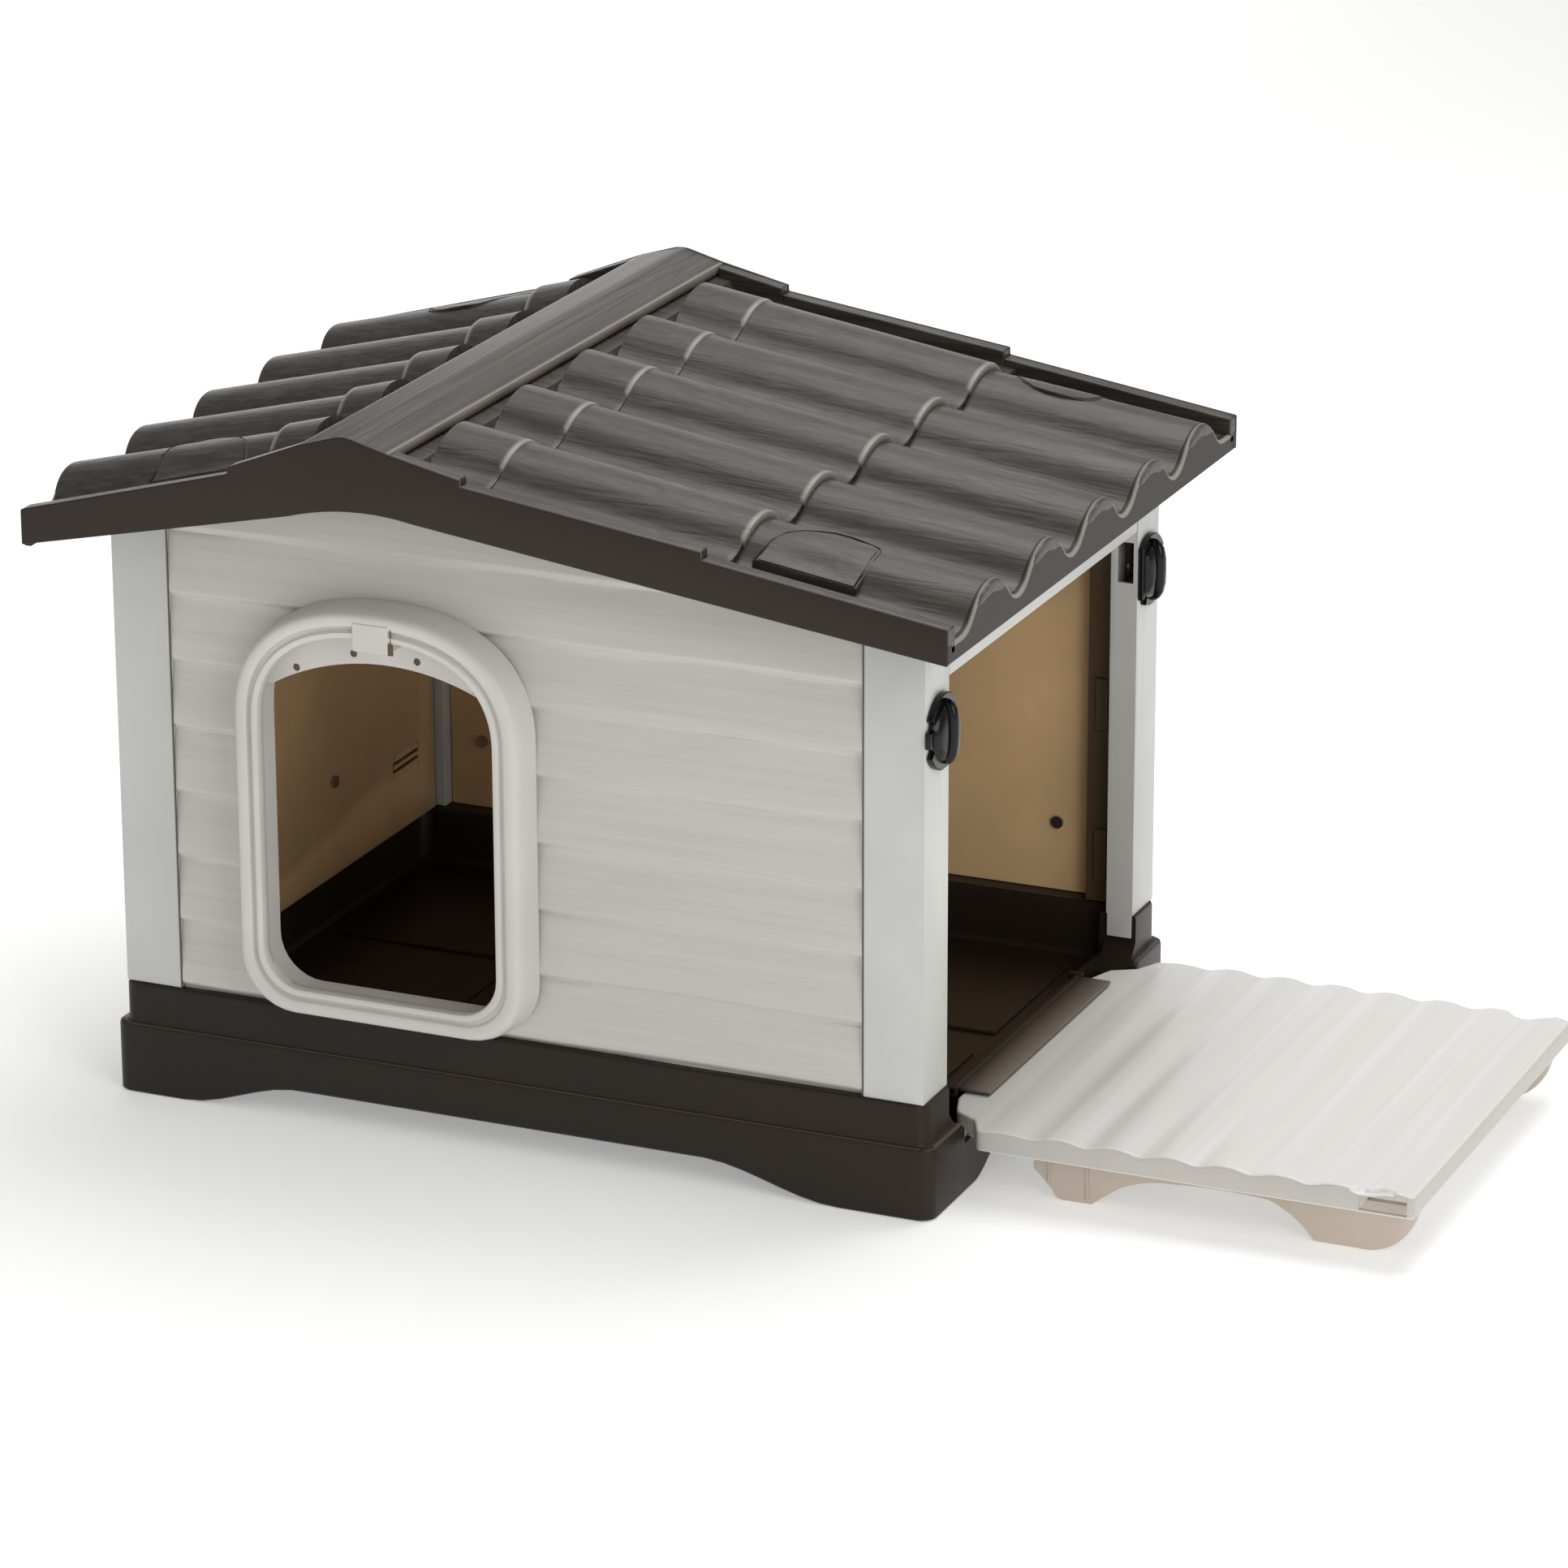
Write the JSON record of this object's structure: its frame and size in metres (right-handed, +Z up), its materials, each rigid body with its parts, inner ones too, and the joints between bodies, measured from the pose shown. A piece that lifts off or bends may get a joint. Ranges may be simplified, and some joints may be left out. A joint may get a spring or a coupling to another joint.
{
  "type": "dog kennel",
  "caption": "Gabled plastic kennel with an arched doorway, tiled-look roof and a drop-down side panel on folding legs, held shut by turn latches.",
  "frame": {"origin": "floor level, under the middle of the box that the cabin and the lowered panel fill together", "axes": "+X to the right seen from the front doorway, the way the panel drops; +Y to the back; +Z up"},
  "size_m": [1.258, 0.71, 0.6679],
  "materials": {
    "brown_plastic": "injection-moulded polypropylene, fine satin grain, dark brown",
    "roof_plastic": "injection-moulded polypropylene with moulded wood grain, weathered brown",
    "wall_plastic": "injection-moulded polypropylene boards with light wood grain, pale grey",
    "surround_plastic": "injection-moulded polypropylene, smooth satin, off-white",
    "panel_plastic": "injection-moulded polypropylene with light wood grain, near white",
    "leg_plastic": "injection-moulded polypropylene, smooth satin, warm beige",
    "lining_plastic": "flat foamed-plastic panel, tan",
    "black_plastic": "injection-moulded nylon, glossy black",
    "zinc_steel": "zinc-plated steel"
  },
  "bodies": {
    "house": {"base_tray": "brown_plastic", "front_left_post": "wall_plastic", "front_right_post": "wall_plastic", "rear_left_post": "wall_plastic", "rear_right_post": "wall_plastic", "front_wall": "wall_plastic", "rear_wall": "wall_plastic", "left_wall": "wall_plastic", "side_header": "wall_plastic", "door_surround": "surround_plastic", "vent_grille": "wall_plastic", "front_lining": "lining_plastic", "rear_lining": "lining_plastic", "left_lining": "lining_plastic", "lining_screws": "zinc_steel", "panel_hinge_pins": "zinc_steel", "flap_rod": "zinc_steel", "roof_right_slope": "roof_plastic", "roof_left_slope": "roof_plastic", "ridge_cap": "roof_plastic", "front_gable_board": "brown_plastic", "rear_gable_board": "brown_plastic"},
    "panel": {"side_panel": "panel_plastic", "leg_rods": "zinc_steel"},
    "front_leg_board": {"front_leg": "leg_plastic"},
    "rear_leg_board": {"rear_leg": "leg_plastic"},
    "flap": {"sill_flap": "brown_plastic"},
    "front_latch": {"front_knob": "black_plastic", "front_latch_tongue": "black_plastic", "front_latch_screw": "zinc_steel"},
    "rear_latch": {"rear_knob": "black_plastic", "rear_latch_tongue": "black_plastic", "rear_latch_screw": "zinc_steel"}
  },
  "joints": [
    {"name": "panel_hinge", "type": "hinge", "parent": "house", "child": "panel", "pos_m": [0.201, 0, 0.048], "axis": [0, -1, 0], "range_deg": [0, 90]},
    {"name": "flap_hinge", "type": "hinge", "parent": "house", "child": "flap", "pos_m": [0.178, 0, 0.0695], "axis": [0, -1, 0], "range_deg": [0, 90]},
    {"name": "front_leg_hinge", "type": "hinge", "parent": "panel", "child": "front_leg_board", "pos_m": [0.431, -0.181, 0.043], "axis": [1, 0, 0], "range_deg": [0, 90]},
    {"name": "rear_leg_hinge", "type": "hinge", "parent": "panel", "child": "rear_leg_board", "pos_m": [0.431, 0.181, 0.043], "axis": [-1, 0, 0], "range_deg": [0, 90]},
    {"name": "front_latch_turn", "type": "hinge", "parent": "house", "child": "front_latch", "pos_m": [0.202, -0.252, 0.439], "axis": [-1, 0, 0], "range_deg": [0, 90]},
    {"name": "rear_latch_turn", "type": "hinge", "parent": "house", "child": "rear_latch", "pos_m": [0.202, 0.252, 0.439], "axis": [1, 0, 0], "range_deg": [0, 90]}
  ],
  "couplings": [
    {"joint": "flap_hinge", "follows": "panel_hinge", "ratio": 1}
  ]
}
